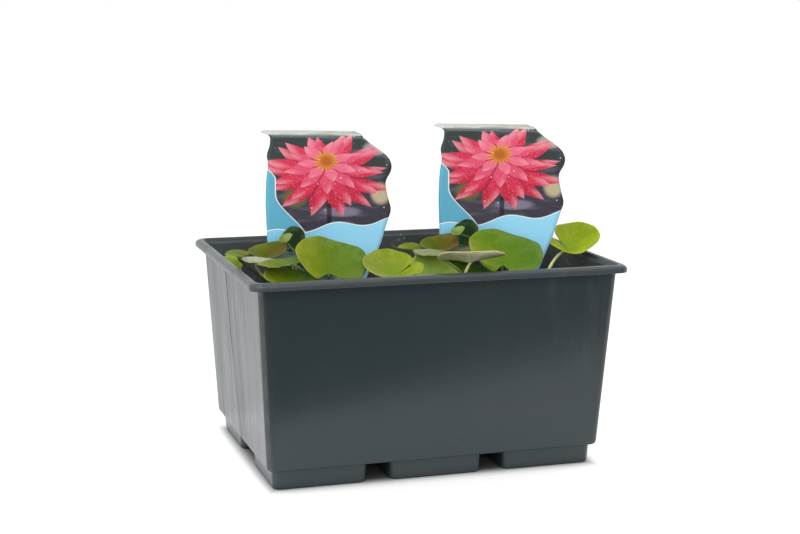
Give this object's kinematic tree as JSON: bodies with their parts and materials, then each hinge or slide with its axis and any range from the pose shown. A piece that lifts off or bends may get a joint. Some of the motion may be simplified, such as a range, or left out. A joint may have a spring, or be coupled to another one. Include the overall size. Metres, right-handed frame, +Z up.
{
  "type": "potted water lily plants in a tub",
  "caption": "Dwarf water lilies with round notched leaves on long stalks, growing in mesh baskets inside a rectangular footed plastic tub, each with a printed picture label on a stick.",
  "frame": {"origin": "on the ground, under the middle of the whole object's box, which is within 3 mm of the middle of the tub", "axes": "+X along the tub's long side to the right, +Y from the front side to the back, +Z up"},
  "size_m": [0.4101, 0.3004, 0.3516],
  "materials": {
    "tub_plastic": "smooth moulded plastic with a satin sheen",
    "basket_plastic": "open moulded lattice, matt",
    "pond_soil": "damp loam with grit",
    "crown_skin": "rough brown rootstock",
    "label_print": "printed film with a gloss coat",
    "leaf_green": "waxy leaf, satin",
    "leaf_dull": "waxy leaf, pale and damp",
    "stem_pale": "soft stalk, satin"
  },
  "bodies": {
    "root": {"tub": "tub_plastic", "basket_left": "basket_plastic", "soil_left": "pond_soil", "crown_left": "crown_skin", "label_left": "label_print", "basket_right": "basket_plastic", "soil_right": "pond_soil", "crown_right": "crown_skin", "label_right": "label_print", "leaf_left_large": "leaf_green", "stem_left_large": "stem_pale", "leaf_left_small": "leaf_green", "stem_left_small": "stem_pale", "leaf_left_lobe": "leaf_green", "stem_left_lobe": "stem_pale", "leaf_left_olive": "leaf_green", "stem_left_olive": "stem_pale", "leaf_left_dark": "leaf_green", "stem_left_dark": "stem_pale", "leaf_left_flap": "leaf_dull", "stem_left_flap": "stem_pale", "leaf_left_pale": "leaf_dull", "stem_left_pale": "stem_pale", "leaf_left_floating": "leaf_green", "stem_left_floating": "stem_pale", "leaf_left_front": "leaf_green", "stem_left_front": "stem_pale", "leaf_left_flat": "leaf_dull", "stem_left_flat": "stem_pale", "leaf_left_back": "leaf_green", "stem_left_back": "stem_pale", "leaf_left_rear": "leaf_green", "stem_left_rear": "stem_pale", "leaf_middle_bright": "leaf_green", "stem_middle_bright": "stem_pale", "leaf_right_large": "leaf_green", "stem_right_large": "stem_pale", "leaf_right_small": "leaf_green", "stem_right_small": "stem_pale", "leaf_right_olive": "leaf_green", "stem_right_olive": "stem_pale", "leaf_right_dark": "leaf_green", "stem_right_dark": "stem_pale", "leaf_right_flap": "leaf_dull", "stem_right_flap": "stem_pale", "leaf_right_pale": "leaf_dull", "stem_right_pale": "stem_pale", "leaf_right_front": "leaf_green", "stem_right_front": "stem_pale", "leaf_right_flat": "leaf_dull", "stem_right_flat": "stem_pale", "leaf_right_dull": "leaf_green", "stem_right_dull": "stem_pale", "leaf_right_funnel": "leaf_dull", "stem_right_funnel": "stem_pale", "leaf_right_edge": "leaf_green", "stem_right_edge": "stem_pale", "leaf_right_back": "leaf_green", "stem_right_back": "stem_pale"}
  },
  "joints": []
}
